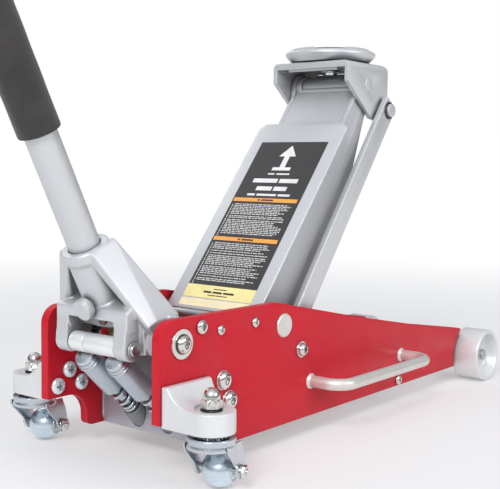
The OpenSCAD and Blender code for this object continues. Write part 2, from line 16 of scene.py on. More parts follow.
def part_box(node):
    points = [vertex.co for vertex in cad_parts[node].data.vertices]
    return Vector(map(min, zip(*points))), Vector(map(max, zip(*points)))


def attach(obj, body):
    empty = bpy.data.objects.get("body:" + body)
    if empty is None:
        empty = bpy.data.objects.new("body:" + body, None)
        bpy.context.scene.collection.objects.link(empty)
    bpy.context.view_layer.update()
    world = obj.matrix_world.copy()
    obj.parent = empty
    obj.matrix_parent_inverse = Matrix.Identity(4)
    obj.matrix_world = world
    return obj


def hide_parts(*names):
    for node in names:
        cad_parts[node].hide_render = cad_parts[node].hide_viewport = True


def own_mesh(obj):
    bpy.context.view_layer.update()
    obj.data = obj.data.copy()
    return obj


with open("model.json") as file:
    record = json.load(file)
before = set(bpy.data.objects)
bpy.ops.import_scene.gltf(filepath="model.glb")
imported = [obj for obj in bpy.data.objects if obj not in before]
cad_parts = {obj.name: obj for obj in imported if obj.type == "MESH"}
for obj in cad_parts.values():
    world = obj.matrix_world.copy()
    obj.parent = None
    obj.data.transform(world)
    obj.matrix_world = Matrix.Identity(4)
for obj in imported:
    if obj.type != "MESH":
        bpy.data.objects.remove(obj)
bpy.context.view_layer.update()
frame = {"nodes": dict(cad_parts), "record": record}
NODES = frame["nodes"]

MM = 0.001
REAR_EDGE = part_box("side_plate_left")[0].x
TO_FRAME = Matrix.Translation((REAR_EDGE, 0, 0)) @ Matrix.Scale(MM, 4)

# driving places, as in the CAD part
Y_OUT, Y_IN = 88, 77
SHAFT = (203, 138)
ARM_LEN, ARM_ANGLE = 360, math.radians(52.6)
LINK_DX, LINK_DZ = 33, -32
PIVOT = (31, 140.5)
HANDLE_LEAN = math.radians(26.7)
HANDLE_LEN, HANDLE_R = 1110, 16.5
FOAM_R, FOAM_START, FOAM_LEN = 21.5, 231, 460
ROLLER = (0, 134)
PUMP_START, PUMP_TILT, PUMP_Y = (-10.5, 133.1), math.radians(46), 22.5
SPRING_START, SPRING_END = 31, 116
STEM = (26.5, 131.5)
SEAT_Z = 82
TRAIL, BALL_R, SWIVEL = 21, 18.5, math.radians(16)
AXLE = (675, 38)
TAPER = 0.036
FLANGE = 24.3


# ------------------------------------------------------------------ placing

def turned(origin, angle):
    """Matrix at origin with X and Z turned by angle about Y, +X towards +Z."""
    return Matrix.Translation(origin) @ Matrix.Rotation(-angle, 4, "Y")


def facing(origin, direction):
    """Matrix at origin whose Z axis points along direction."""
    return Matrix.Translation(origin) @ Vector(direction).to_track_quat("Z", "Y").to_matrix().to_4x4()


ARM = turned((SHAFT[0], 0, SHAFT[1]), ARM_ANGLE)
COVER = ARM @ Matrix.Translation((0, 0, FLANGE + 0.2)) @ Matrix.Rotation(math.atan(TAPER), 4, "Y")
HANDLE = turned((PIVOT[0], 0, PIVOT[1]), HANDLE_LEAN)
PIN_B = Vector((SHAFT[0] + ARM_LEN * math.cos(ARM_ANGLE), 0, SHAFT[1] + ARM_LEN * math.sin(ARM_ANGLE)))
PIN_D = PIN_B + Vector((LINK_DX, 0, LINK_DZ))
PUMP_DIR = Vector((math.sin(PUMP_TILT), 0, -math.cos(PUMP_TILT)))
YOKE_TOP = PIN_B.z + 28


def pump_place(side):
    return facing((PUMP_START[0], side * PUMP_Y, PUMP_START[1]), PUMP_DIR)


# ------------------------------------------------------------------ mesh helpers

def hexagon(across):
    """Radius of a hexagon of that size across its flats, by angle."""
    return lambda a: across / 2 / math.cos((a % (math.pi / 3)) - math.pi / 6)


def cross(length, width):
    """Radius of a cross-shaped recess, by angle."""
    def radius(a):
        off = abs((a + math.pi / 4) % (math.pi / 2) - math.pi / 4)
        return length / math.cos(off) if math.tan(off) <= width / length else width / math.sin(off)
    return radius


def lathe(bm, profile, place=Matrix(), steps=48, closed=False):
    """Turns profile, a list of (radius, z), round Z. A radius may be a function of the angle."""
    rings = []
    for radius, z in profile:
        if radius == 0:
            rings.append([bm.verts.new(place @ Vector((0, 0, z)))])
            continue
        ring = []
        for i in range(steps):
            a = 2 * math.pi * i / steps
            r = radius(a) if callable(radius) else radius
            ring.append(bm.verts.new(place @ Vector((r * math.cos(a), r * math.sin(a), z))))
        rings.append(ring)
    pairs = list(zip(rings, rings[1:])) + ([(rings[-1], rings[0])] if closed else [])
    for low, high in pairs:
        for i in range(steps):
            j = (i + 1) % steps
            corners = [low[i % len(low)], low[j % len(low)], high[j % len(high)], high[i % len(high)]]
            corners = list(dict.fromkeys(corners))
            if len(corners) > 2:
                bm.faces.new(corners)
    return bm


def prism(bm, outline, y1, y2, place=Matrix()):
    """Outline of (x, z) points, from y1 to y2."""
    low = [bm.verts.new(place @ Vector((x, y1, z))) for x, z in outline]
    high = [bm.verts.new(place @ Vector((x, y2, z))) for x, z in outline]
    bm.faces.new(low)
    bm.faces.new(high[::-1])
    for i in range(len(low)):
        j = (i + 1) % len(low)
        bm.faces.new([low[i], high[i], high[j], low[j]])
    return bm


def block(bm, low, high, place=Matrix()):
    return prism(bm, [(low[0], low[2]), (high[0], low[2]), (high[0], high[2]), (low[0], high[2])],
                 low[1], high[1], place)


def sweep(bm, points, radius, steps=12, caps=True):
    """Round bar along points; radius is a number or one number per point."""
    radii = radius if isinstance(radius, (list, tuple)) else [radius] * len(points)
    points = [Vector(p) for p in points]
    up = None
    rings = []
    for i, p in enumerate(points):
        ahead = points[min(i + 1, len(points) - 1)] - points[max(i - 1, 0)]
        ahead.normalize()
        if up is None:
            up = ahead.orthogonal().normalized()
        up = (up - ahead * up.dot(ahead)).normalized()
        side = ahead.cross(up)
        rings.append([bm.verts.new(p + (up * math.cos(a) + side * math.sin(a)) * radii[i])
                      for a in (2 * math.pi * k / steps for k in range(steps))])
    for low, high in zip(rings, rings[1:]):
        for k in range(steps):
            j = (k + 1) % steps
            bm.faces.new([low[k], low[j], high[j], high[k]])
    if caps:
        bm.faces.new(rings[0][::-1])
        bm.faces.new(rings[-1])
    return bm


def helix(turns, radius, length, per_turn=20, flat_turns=0.8):
    """Points of a coil spring along Z whose end turns lie flat."""
    count = int(turns * per_turn)
    points = []
    for i in range(count + 1):
        t = i / per_turn
        share = min(max((t - flat_turns) / (turns - 2 * flat_turns), 0), 1)
        a = 2 * math.pi * t
        points.append(Vector((radius * math.cos(a), radius * math.sin(a), share * length)))
    return points


def arc(cx, cz, r, start, end, steps=8):
    """Points on an arc, with the angles in degrees."""
    return [(cx + r * math.cos(math.radians(start + (end - start) * i / steps)),
             cz + r * math.sin(math.radians(start + (end - start) * i / steps))) for i in range(steps + 1)]


def mirrored(bm):
    """Adds the mirror image across the middle plane."""
    new = bmesh.ops.duplicate(bm, geom=bm.verts[:] + bm.edges[:] + bm.faces[:])["geom"]
    verts = [g for g in new if isinstance(g, bmesh.types.BMVert)]
    for v in verts:
        v.co.y = -v.co.y
    bmesh.ops.reverse_faces(bm, faces=[g for g in new if isinstance(g, bmesh.types.BMFace)])
    return bm


def weld(bm, start, end, width=3.0, pitch=2.2, seed=1):
    """Bead of overlapping ripples along a straight seam."""
    rng = random.Random(seed)
    start, end = Vector(start), Vector(end)
    count = max(2, int((end - start).length / pitch))
    points, radii = [], []
    for i in range(count * 4 + 1):
        t = i / (count * 4)
        ripple = 0.80 + 0.20 * abs(math.sin(math.pi * t * count))
        ends = min(1.0, 0.35 + 6 * min(t, 1 - t))
        points.append(start.lerp(end, t) + Vector([rng.uniform(-0.15, 0.15) for _ in range(3)]))
        radii.append(width * ripple * ends * rng.uniform(0.94, 1.05))
    return sweep(bm, points, radii, steps=10)


def made(bm, name):
    """Object from a mesh in chassis millimetres."""
    bmesh.ops.recalc_face_normals(bm, faces=bm.faces)
    bm.transform(TO_FRAME)
    mesh = bpy.data.meshes.new(name)
    bm.to_mesh(mesh)
    bm.free()
    ob = bpy.data.objects.new(name, mesh)
    bpy.context.scene.collection.objects.link(ob)
    return ob


def settle(ob):
    """Applies the modifiers."""
    bpy.context.view_layer.update()
    mesh = bpy.data.meshes.new_from_object(ob.evaluated_get(bpy.context.evaluated_depsgraph_get()))
    ob.modifiers.clear()
    ob.data = mesh
    return ob


def boolean(ob, bm, operation="DIFFERENCE"):
    """Cuts the solids of bm out of ob, or keeps what both share."""
    tool = made(bm, "tool")
    m = ob.modifiers.new("cut", "BOOLEAN")
    m.operation, m.object, m.solver = operation, tool, "EXACT"
    settle(ob)
    bpy.data.objects.remove(tool)
    return ob


def rounded(ob, width, segments=3, angle=30):
    """Rounds the sharp edges, with the width in millimetres."""
    bm = bmesh.new()
    bm.from_mesh(ob.data)
    bmesh.ops.remove_doubles(bm, verts=bm.verts, dist=2e-6)
    bmesh.ops.dissolve_limit(bm, angle_limit=math.radians(0.6), verts=bm.verts, edges=bm.edges)
    edges = [e for e in bm.edges if len(e.link_faces) == 2 and e.calc_face_angle(0) > math.radians(angle)]
    bmesh.ops.bevel(bm, geom=edges, offset=width * MM, segments=segments, profile=0.5, affect="EDGES",
                    clamp_overlap=True)
    bm.to_mesh(ob.data)
    bm.free()
    return ob


def cast(ob, voxel=1.2, rounds=5):
    """Melts the solids into one casting with soft fillets."""
    m = ob.modifiers.new("melt", "REMESH")
    m.mode, m.voxel_size = "VOXEL", voxel * MM
    s = ob.modifiers.new("fillet", "SMOOTH")
    s.factor, s.iterations = 0.5, rounds
    return settle(ob)


def copy_of(node):
    """New object with the shape of a CAD node."""
    ob = bpy.data.objects.new("visual_" + node, NODES[node].data.copy())
    ob.data.materials.clear()
    bpy.context.scene.collection.objects.link(ob)
    bm = bmesh.new()
    bm.from_mesh(ob.data)
    bmesh.ops.remove_doubles(bm, verts=bm.verts, dist=2e-6)
    bm.to_mesh(ob.data)
    bm.free()
    return ob


def dress(ob, body, material, replaces=(), smooth=35):
    """Finishes a piece: shading, material and body."""
    ob.data.shade_smooth()
    ob.data.set_sharp_from_angle(angle=math.radians(smooth))
    ob.data.materials.clear()
    ob.data.materials.append(material)
    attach(ob, body)
    if replaces:
        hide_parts(*replaces)
    return ob


# ------------------------------------------------------------------ materials

class Nodes:
    """Short way to build a node material on the object's own coordinates."""

    def __init__(self, name):
        self.material = bpy.data.materials.new(name)
        self.material.use_nodes = True
        self.tree = self.material.node_tree
        self.shader = self.tree.nodes["Principled BSDF"]
        self.place = self.add("ShaderNodeTexCoord").outputs["Object"]

    def add(self, kind, inputs=(), **settings):
        n = self.tree.nodes.new(kind)
        for key, value in settings.items():
            setattr(n, key, value)
        for key, value in dict(inputs).items():
            self.feed(n.inputs[key], value)
        return n

    def feed(self, socket, value):
        if isinstance(value, bpy.types.NodeSocket):
            self.tree.links.new(value, socket)
        elif isinstance(value, tuple) and len(value) == 3 and socket.type == "RGBA":
            socket.default_value = (*value, 1)
        else:
            socket.default_value = value

    def noise(self, scale, detail=3, stretch=None, rough=0.5):
        place = self.place
        if stretch:
            place = self.add("ShaderNodeMapping", {"Vector": place, "Scale": stretch}).outputs[0]
        return self.add("ShaderNodeTexNoise", {"Vector": place, "Scale": scale, "Detail": detail,
                                               "Roughness": rough}).outputs["Fac"]

    def fit(self, value, low, high, to_low=0.0, to_high=1.0):
        return self.add("ShaderNodeMapRange", {0: value, 1: low, 2: high, 3: to_low, 4: to_high}).outputs[0]

    def maths(self, operation, a, b=0.0):
        return self.add("ShaderNodeMath", {0: a, 1: b}, operation=operation).outputs[0]

    def mix(self, factor, a, b):
        return self.add("ShaderNodeMix", {"Factor": factor, 6: a, 7: b}, data_type="RGBA").outputs[2]

    def edges(self, radius):
        """1 on outer and inner edges, from the difference between rounded and plain normals."""
        soft = self.add("ShaderNodeBevel", {"Radius": radius}, samples=4).outputs[0]
        plain = self.add("ShaderNodeNewGeometry").outputs["Normal"]
        dot = self.add("ShaderNodeVectorMath", {0: soft, 1: plain}, operation="DOT_PRODUCT").outputs["Value"]
        return self.fit(dot, 1.0, 0.86)

    def bump(self, *layers, edge=0.0):
        """Layers of (height, strength, distance), over an optional rounding of sharp edges."""
        normal = self.add("ShaderNodeBevel", {"Radius": edge}, samples=4).outputs[0] if edge else None
        for height, strength, distance in layers:
            inputs = {"Height": height, "Strength": strength, "Distance": distance}
            if normal is not None:
                inputs["Normal"] = normal
            normal = self.add("ShaderNodeBump", inputs).outputs[0]
        self.feed(self.shader.inputs["Normal"], normal)

    def set(self, **values):
        for key, value in values.items():
            self.feed(self.shader.inputs[key.replace("_", " ")], value)
        return self.material

    def shade_mask(self, distance=0.012, samples=4):
        """1 in tight corners, from ambient occlusion: the mask that paints shade into a colour."""
        ao = self.add("ShaderNodeAmbientOcclusion", {"Distance": distance}, samples=samples).outputs["AO"]
        return self.fit(ao, 0.75, 0.25)


def paint(name, colour, dark, worn, rough=0.35, coat=0.25, peel=0.12, edge=0.0008, shine=0.5,
          flake=0.0, shade=0.0):
    """Powder coat: orange peel, cloudy colour, painted shade in hollows and tight corners, pale worn edges.
    """
    n = Nodes(name)
    cloud = n.fit(n.noise(9, 4), 0.3, 0.7)
    fine = n.noise(2600, 2)
    base = n.mix(n.maths("MULTIPLY", cloud, 0.35), colour, dark)
    # shade: painted shade, broad ambient occlusion darkening the coat in hollows and under overhangs
    if shade:
        base = n.mix(n.maths("MULTIPLY", n.shade_mask(0.07, 8), shade), base, tuple(c * 0.25 for c in dark))
    # painted shade in tight corners, from ambient occlusion
    base = n.mix(n.maths("MULTIPLY", n.shade_mask(), 0.35), base, tuple(c * 0.35 for c in dark))
    chips = n.fit(n.noise(420, 5, rough=0.7), 0.56, 0.62)
    wear = n.maths("MULTIPLY", n.edges(0.0009), chips)
    base = n.mix(n.maths("MULTIPLY", wear, 0.55), base, worn)
    n.bump((fine, peel, 0.0002), (n.noise(120, 2), 0.10, 0.0006), edge=edge)
    return n.set(Base_Color=base, Roughness=n.fit(n.noise(30, 4), 0.25, 0.75, rough - 0.05, rough + 0.08),
                 Coat_Weight=coat, Coat_Roughness=0.22, Specular_IOR_Level=shine,
                 Metallic=flake)


def metal(name, colour, tint, rough=0.25, spread=0.10, grain=(1, 1, 1), grain_scale=900, pit=0.05,
          edge=0.0005, corner_shade=0.5, metallic=1.0):
    """Plated or ground metal: cloudy tint, directional grain, painted shade in corners."""
    n = Nodes(name)
    cloud = n.fit(n.noise(26, 5), 0.3, 0.7)
    base = n.mix(cloud, colour, tint)
    # painted shade in corners: ambient occlusion darkens the colour towards near black
    base = n.mix(n.maths("MULTIPLY", n.shade_mask(0.006), corner_shade), base, (0.08, 0.075, 0.07))
    lines = n.noise(grain_scale, 4, stretch=grain, rough=0.65)
    n.bump((lines, pit, 0.0002), edge=edge)
    dull = n.fit(lines, 0.3, 0.7, rough - spread / 2, rough + spread / 2)
    dull = n.maths("ADD", dull, n.maths("MULTIPLY", cloud, spread * 0.6))
    return n.set(Base_Color=base, Metallic=metallic, Roughness=dull)


def casting(name, colour, dark, metallic=1.0, rough=0.42, sand=0.35, scale=520):
    """Bead-blasted or sand-cast surface."""
    n = Nodes(name)
    cloud = n.fit(n.noise(14, 5), 0.3, 0.7)
    base = n.mix(cloud, colour, dark)
    # painted shade in corners: ambient occlusion darkens the colour
    base = n.mix(n.maths("MULTIPLY", n.shade_mask(0.01), 0.5), base, tuple(c * 0.25 for c in dark))
    grit = n.add("ShaderNodeTexVoronoi", {"Vector": n.place, "Scale": scale}).outputs["Distance"]
    n.bump((n.noise(1700, 3), sand * 0.6, 0.0002), (grit, sand * 0.5, 0.0002), edge=0.0008)
    return n.set(Base_Color=base, Metallic=metallic,
                 Roughness=n.fit(n.noise(60, 4), 0.3, 0.7, rough - 0.06, rough + 0.08))


def soft(name, colour, dark, rough=0.85, scale=1500, strength=0.5, sheen=0.25):
    """Foam or rubber with a fine open grain."""
    n = Nodes(name)
    cloud = n.fit(n.noise(20, 4), 0.3, 0.7)
    cells = n.add("ShaderNodeTexVoronoi", {"Vector": n.place, "Scale": scale}).outputs["Distance"]
    base = n.mix(cloud, colour, dark)
    # painted shade in the pores: the colour is darker in the cell hollows
    pore_shade = n.maths("MULTIPLY", n.fit(cells, 0.0, 0.35, 1.0, 0.0), 0.4)
    base = n.mix(pore_shade, base, tuple(c * 0.5 for c in dark))
    n.bump((cells, strength, 0.0003), (n.noise(300, 3), 0.25, 0.0004))
    return n.set(Base_Color=base, Roughness=n.fit(n.noise(90, 3), 0.3, 0.7, rough - 0.08, rough + 0.06),
                 Sheen_Weight=sheen, Sheen_Roughness=0.5)


def print_ink(name, colour, rough=0.38):
    """Printed film: faint mottling, fine dust scratches."""
    n = Nodes(name)
    base = n.mix(n.fit(n.noise(60, 5), 0.3, 0.7), colour, tuple(c * 0.86 for c in colour))
    n.bump((n.noise(1400, 2), 0.05, 0.0001), (n.noise(500, 3, stretch=(1, 12, 1)), 0.03, 0.0001))
    return n.set(Base_Color=base, Roughness=n.fit(n.noise(200, 4), 0.3, 0.7, rough - 0.08, rough + 0.1),
                 Coat_Weight=0.3, Coat_Roughness=0.12)


RED = paint("red_coat", (0.56, 0.010, 0.024), (0.46, 0.008, 0.018), (0.80, 0.22, 0.22), rough=0.40,
            coat=0.05, peel=0.10, edge=0.0012, shine=0.22, shade=0.45)
GREY = paint("silver_coat", (0.62, 0.63, 0.645), (0.54, 0.55, 0.57), (0.78, 0.79, 0.80), rough=0.36,
             coat=0.12, peel=0.10, flake=0.38, shade=0.70)
ALU = casting("cast_aluminium", (0.76, 0.765, 0.77), (0.68, 0.685, 0.69), metallic=0.25, rough=0.40,
              sand=0.22)
PLATE = casting("rolled_plate", (0.50, 0.49, 0.55), (0.40, 0.39, 0.44), metallic=0.35, rough=0.45, sand=0.25)
ZINC = metal("zinc_plate", (0.66, 0.71, 0.76), (0.58, 0.62, 0.66), rough=0.24, spread=0.14, pit=0.06)
CHROME = metal("bright_plate", (0.80, 0.79, 0.76), (0.72, 0.70, 0.66), rough=0.17, spread=0.08, pit=0.03)
STEEL = metal("ground_steel", (0.56, 0.57, 0.58), (0.48, 0.49, 0.50), rough=0.30, spread=0.14,
              grain=(1, 14, 1), pit=0.10)
ROD = metal("satin_rod", (0.76, 0.735, 0.70), (0.68, 0.655, 0.62), rough=0.36, spread=0.10, pit=0.05,
            metallic=0.55)
SATIN = metal("satin_roller", (0.86, 0.87, 0.88), (0.78, 0.79, 0.80), rough=0.30, spread=0.10, pit=0.05,
              metallic=0.30)
SLEEVE = paint("blue_grey_coat", (0.54, 0.60, 0.66), (0.46, 0.52, 0.57), (0.70, 0.72, 0.74), rough=0.30,
               flake=0.5)
IRON = casting("dark_casting", (0.27, 0.28, 0.29), (0.19, 0.195, 0.20), metallic=0.30, rough=0.50, sand=0.6)
SCREW = metal("zinc_screw", (0.84, 0.87, 0.90), (0.76, 0.79, 0.83), rough=0.26, spread=0.12, metallic=0.55)
DARK = metal("black_oxide", (0.10, 0.10, 0.105), (0.06, 0.06, 0.065), rough=0.32, spread=0.12, pit=0.06)
BALL = metal("blue_zinc", (0.76, 0.86, 0.94), (0.66, 0.76, 0.84), rough=0.26, spread=0.12, pit=0.08)
BRASS = metal("dull_brass", (0.52, 0.44, 0.22), (0.38, 0.34, 0.20), rough=0.34, spread=0.14, pit=0.08)
FOAM = soft("closed_cell_foam", (0.036, 0.032, 0.031), (0.024, 0.021, 0.020), scale=1300)
GRIP = soft("moulded_rubber", (0.022, 0.022, 0.023), (0.014, 0.014, 0.015), rough=0.62, scale=2400,
            strength=0.25, sheen=0.1)
PANEL = print_ink("panel_ink", (0.038, 0.034, 0.034))
WHITE = print_ink("white_ink", (0.84, 0.84, 0.83))
PALE = print_ink("pale_text_ink", (0.72, 0.71, 0.70))
AMBER = print_ink("amber_ink", (0.98, 0.40, 0.07))
YELLOW = print_ink("pale_yellow_ink", (1.0, 0.86, 0.38))
PEACH = print_ink("peach_ink", (1.0, 0.86, 0.56))

BODY_OF = {n: b for b, names in frame["record"]["behaviour"]["bodies"].items() for n in names}
SLOT_OF = {s["node"]: s["material_slot"] for s in frame["record"]["subparts"]}
LOOKS = {"red_paint": RED, "grey_paint": GREY, "cast_aluminium": ALU, "zinc": ZINC, "chrome": CHROME,
         "dark_cast": IRON, "steel": STEEL, "brass": BRASS, "foam": FOAM, "grip_rubber": GRIP, "decal": PANEL}


def look_of(name):
    if name.startswith("carry_handle"):
        return ROD
    if name in ("rear_cross_plate", "front_tie_plate"):
        return PLATE
    if name == "handle_lock_bolt":
        return GREY
    if name == "pump_sleeves":
        return SLEEVE
    if name == "pump_rollers":
        return SATIN
    return LOOKS[SLOT_OF[name]]


def finish(ob, node, smooth=35, look=None):
    """Puts the piece in place of a CAD node, with the node's body and look."""
    return dress(ob, BODY_OF[node], look or look_of(node), [node], smooth)


for name, ob in NODES.items():
    if ob.data.materials:
        for i in range(len(ob.data.materials)):
            ob.data.materials[i] = look_of(name)
    else:
        ob.data.materials.append(look_of(name))


# ------------------------------------------------------------------ handle

def handle_pieces():
    # foam sleeve with rounded ends and a slight waist
    bm = bmesh.new()
    top = FOAM_START + FOAM_LEN
    profile = [(HANDLE_R + 0.02, FOAM_START + 1.2), (HANDLE_R + 1.2, FOAM_START), (FOAM_R - 1.4, FOAM_START),
               (FOAM_R - 0.4, FOAM_START + 0.5), (FOAM_R, FOAM_START + 1.6)]
    for i in range(1, 40):
        z = FOAM_START + 2 + (FOAM_LEN - 4) * i / 40
        profile.append((FOAM_R - 0.12 + 0.12 * math.sin(i * 1.7), z))
    profile += [(FOAM_R, top - 1.6), (FOAM_R - 0.4, top - 0.5), (FOAM_R - 1.4, top), (HANDLE_R + 1.2, top),
                (HANDLE_R + 0.02, top - 1.2)]
    lathe(bm, profile, HANDLE, 64, closed=True)
    foam = dress(made(bm, "foam_sleeve"), "handle", FOAM, ["foam_bumper"])

    # ribbed rubber grip with a rounded end cap
    bm = bmesh.new()
    start, end, outer = HANDLE_LEN - 135, HANDLE_LEN, HANDLE_R + 2
    profile = [(HANDLE_R, start + 0.5), (HANDLE_R + 0.6, start), (outer, start + 1), (outer, start + 5)]
    z = start + 6
    while z < end - 16:
        profile += [(outer - 0.9, z), (outer - 0.9, z + 1.2), (outer, z + 1.9), (outer, z + 4.3)]
        z += 5
    profile += [(outer, end - 5), (outer - 1.2, end - 2), (outer - 4, end - 0.4), (outer - 7, end), (5, end),
                (4, end - 1), (0, end - 1)]
    lathe(bm, profile, HANDLE, 56)
    finish(made(bm, "ribbed_grip"), "hand_grip", 25, GRIP)

    # spring button that locks the two tubes together
    bm = bmesh.new()
    place = HANDLE @ facing((0, -HANDLE_R - 0.2, 726), (0, -1, 0))
    lathe(bm, [(5.2, -2), (5.2, 0.1), (4.4, 0.4), (3.9, 0.4), (3.6, 1.2), (2.6, 2.0), (1.2, 2.4), (0, 2.5)],
          place, 24)
    dress(made(bm, "tube_lock_button"), "handle", CHROME)


# ------------------------------------------------------------------ springs

def spring_pieces():
    # coils close together at both ends, open between
    steps = [(0, 0), (1, 3.6), (2, 8.5)]
    steps += [(2 + i, 8.5 + 12.6 * i) for i in range(1, 6)] + [(8, 77.4), (9, 81.4)]
    for side, label in ((1, "left"), (-1, "right")):
        place = pump_place(side)
        points = []
        for (t1, z1), (t2, z2) in zip(steps, steps[1:]):
            for i in range(24):
                share = i / 24
                a = 2 * math.pi * (t1 + (t2 - t1) * share)
                height = SPRING_START + 1.8 + z1 + (z2 - z1) * share
                points.append(place @ Vector((8 * math.cos(a), 8 * math.sin(a), height)))
        bm = bmesh.new()
        sweep(bm, points, 1.75, 12)
        ob = made(bm, f"pump_coil_{label}")
        finish(ob, "pump_springs", 60, ZINC)
        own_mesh(ob)

    start, end, height = 132, 221.65, 96.8
    for side, label in ((1, "left"), (-1, "right")):
        bm = bmesh.new()
        place = facing((start + 5, side * 37, height), (1, 0, 0))
        coil = helix(34, 4.6, end - start - 12, per_turn=12, flat_turns=0.05)
        hook_in = [Vector((4.6, 0, -1)), Vector((3, 0, -2.5)), Vector((0, 0, -4.5))]
        length = end - start - 12
        last = coil[-1]
        hook_out = [last + Vector((0, 0, 0.8)), Vector((last.x * 0.5, last.y * 0.5, length + 3)),
                    Vector((0, 0, length + 6))]
        sweep(bm, [place @ p for p in hook_in[::-1] + coil + hook_out], 0.8, 8)
        ob = made(bm, f"return_coil_{label}")
        finish(ob, "return_springs", 60, STEEL)
        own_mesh(ob)


# ------------------------------------------------------------------ label

def label_pieces():
    """Plain decal: dark panel, lift arrow, blank bars for headings and text, amber and yellow bands."""
    rng = random.Random(7)
    top = 3.0
    low_u, high_u, half = 8, 250, 52
    strip = 25.8
    sets = {"panel": [], "white": [], "pale": [], "amber": [], "yellow": [], "peach": [], "ink": []}

    def bar(kind, u1, u2, y1, y2, level):
        sets[kind].append((u1, u2, y1, y2, level))

    bar("panel", strip, high_u, -half, half, 0.25)
    bar("yellow", low_u, strip, -half, half, 0.25)
    bar("peach", -4, low_u - 1.5, -half, half, 0.12)
    # headings as blank bars
    for u, size, words in ((196, 2.2, (10, 20)), (183, 6.4, (38, 28)), (170.5, 6.4, (24, 20)),
                           (162, 3.2, (12, 30, 18))):
        width = sum(words) + 3 * (len(words) - 1)
        y = width / 2
        for w in words:
            bar("white", u, u + size, y - w, y, 0.4)
            y -= w + 3
    for u in (152.5, 91.5):
        bar("amber", u, u + 5.6, -half + 4, half - 2, 0.4)
        y = 12
        for w in (4, 18):
            bar("ink", u + 1.6, u + 4, y - w, y, 0.5)
            y -= w + 2
    # blank text rows
    for first, last in ((148.6, 100), (88, 31)):
        u = first
        while u > last:
            y = half - 8
            stop = -half + rng.choice((8, 10, 14, 22))
            size = 1.25
            while y > stop:
                w = rng.uniform(2.0, 7.5)
                bar("pale", u - size, u, max(y - w, stop), y, 0.4)
                y -= w + rng.uniform(0.9, 1.6)
            u -= rng.choice((2.5, 2.5, 2.7, 3.6))
        v = first - 1
        while v > last:
            bar("pale", v - 4.5, v, half - 5.2, half - 4.2, 0.4)
            v -= 5.6
    for u, size, words in ((20.4, 1.2, (20,)), (15.2, 2.6, (12, 14, 16)), (11.6, 1.2, (30,))):
        width = sum(words) + 2 * (len(words) - 1)
        y = width / 2
        for w in words:
            bar("ink", u, u + size, y - w, y, 0.4)
            y -= w + 2

    looks = {"panel": PANEL, "white": WHITE, "pale": PALE, "amber": AMBER, "yellow": YELLOW, "peach": PEACH,
             "ink": PANEL}
    for kind, bars in sets.items():
        bm = bmesh.new()
        for u1, u2, y1, y2, level in bars:
            block(bm, (u1, y1, top - 0.3), (u2, y2, top + level), COVER)
        if kind == "white":
            # arrow over a bar: lift
            outline = [(203, 14), (208, 14), (208, 4), (226, 4), (226, 13), (244, 0), (226, -13), (226, -4),
                       (208, -4), (208, -14), (203, -14)]
            low = [bm.verts.new(COVER @ Vector((u, y, top - 0.3))) for u, y in outline]
            high = [bm.verts.new(COVER @ Vector((u, y, top + 0.4))) for u, y in outline]
            bm.faces.new(low)
            bm.faces.new(high[::-1])
            for i in range(len(low)):
                j = (i + 1) % len(low)
                bm.faces.new([low[i], high[i], high[j], low[j]])
        dress(made(bm, "decal_" + kind), "arm", looks[kind], ["label_panel"], smooth=20)


# ------------------------------------------------------------------ fasteners

def dome(r, h, base=0.3, steps=6, end=0.0):
    """Profile of a domed head from its rim to the radius end."""
    low = h * base
    points = [(r * 0.97, 0), (r, h * 0.08), (r, low)]
    for i in range(1, steps + 1):
        a = math.radians(90 * i / steps)
        x = max(r * math.cos(a), end)
        points.append((x, low + (h - low) * math.sin(a)))
        if x == end:
            break
    return points


def head(bm, place, r, h, recess="cross"):
    """Domed screw head with a recess."""
    if recess == "cross":
        shape, small, depth = cross(r * 0.56, r * 0.13), cross(r * 0.36, r * 0.10), h * 0.55
        rim = r * 0.60
    else:
        shape, small, depth = hexagon(r * 0.86), hexagon(r * 0.80), h * 0.6
        rim = r * 0.52
    profile = [p for p in dome(r, h) if p[0] > rim + 0.05]
    crown = profile[-1][1] + (h - profile[-1][1]) * 0.5
    profile += [(rim, crown), (shape, crown + 0.02), (small, crown - depth), (0, crown - depth - 0.05)]
    lathe(bm, profile, place, 72)
    return bm


